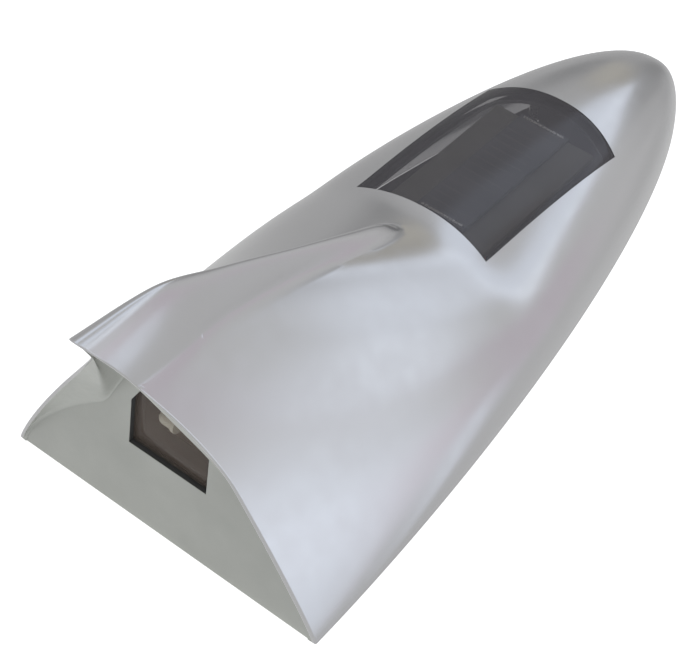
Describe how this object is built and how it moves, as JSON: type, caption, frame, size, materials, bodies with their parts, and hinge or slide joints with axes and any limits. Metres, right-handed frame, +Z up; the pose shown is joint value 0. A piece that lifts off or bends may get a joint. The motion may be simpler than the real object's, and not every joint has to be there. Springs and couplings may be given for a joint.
{
  "type": "navigation light",
  "caption": "Shark-fin shaped, solar-charged stern light with a painted shell, smoked solar window and smoked rear lens.",
  "frame": {"origin": "middle of the overall plan, on the underside of the adhesive pad", "axes": "+Z up, +Y from the lens at the stern end to the rounded nose, +X to starboard"},
  "size_m": [0.073, 0.1756, 0.0664],
  "materials": {
    "silver_paint": "moulded ABS under satin silver paint and clear coat",
    "smoked_plastic": "clear smoked acrylic, polished",
    "seal": "soft black seal",
    "solar_cell": "dark silicon with fine silver fingers under resin",
    "tray": "brown laminate",
    "panel_grey": "fine satin grey plastic",
    "black_plastic": "moulded black plastic",
    "clear_lamp": "clear epoxy",
    "tinned_steel": "tinned or zinc-plated steel",
    "board_brown": "brown phenolic laminate",
    "board_green": "green solder mask",
    "green_wrap": "heat-shrink sleeve",
    "white_plastic": "moulded white plastic",
    "red_wire": "PVC insulation",
    "black_wire": "PVC insulation",
    "foam": "closed-cell adhesive foam"
  },
  "bodies": {
    "housing": {"top_shell": "silver_paint", "solar_window": "smoked_plastic", "window_seal": "seal", "solar_cell": "solar_cell", "cell_tray": "tray", "rear_panel": "panel_grey", "rear_lens": "smoked_plastic", "lens_bezel": "black_plastic", "lamp": "clear_lamp", "lamp_lead_a": "tinned_steel", "lamp_lead_b": "tinned_steel", "lamp_board": "board_brown", "control_board": "board_green", "charge_chip": "black_plastic", "storage_capacitor": "black_plastic", "vibration_sensor": "tinned_steel", "light_sensor": "clear_lamp", "resistor_1": "tray", "resistor_2": "tray", "battery_cell": "green_wrap", "battery_clip": "white_plastic", "cell_wire_red": "red_wire", "cell_wire_black": "black_wire", "battery_wire_red": "red_wire", "battery_wire_black": "black_wire", "switch_body": "tinned_steel", "base_plate": "black_plastic", "base_seal": "seal", "adhesive_pad": "foam", "base_screw_1": "tinned_steel", "base_screw_2": "tinned_steel", "base_screw_3": "tinned_steel", "base_screw_4": "tinned_steel", "board_screw_1": "tinned_steel", "board_screw_2": "tinned_steel"},
    "slider": {"switch_slider": "black_plastic"}
  },
  "joints": [
    {"name": "switch_slide", "type": "slide", "parent": "housing", "child": "slider", "axis": [0, 1, 0], "range_m": [0, 0.002]}
  ]
}
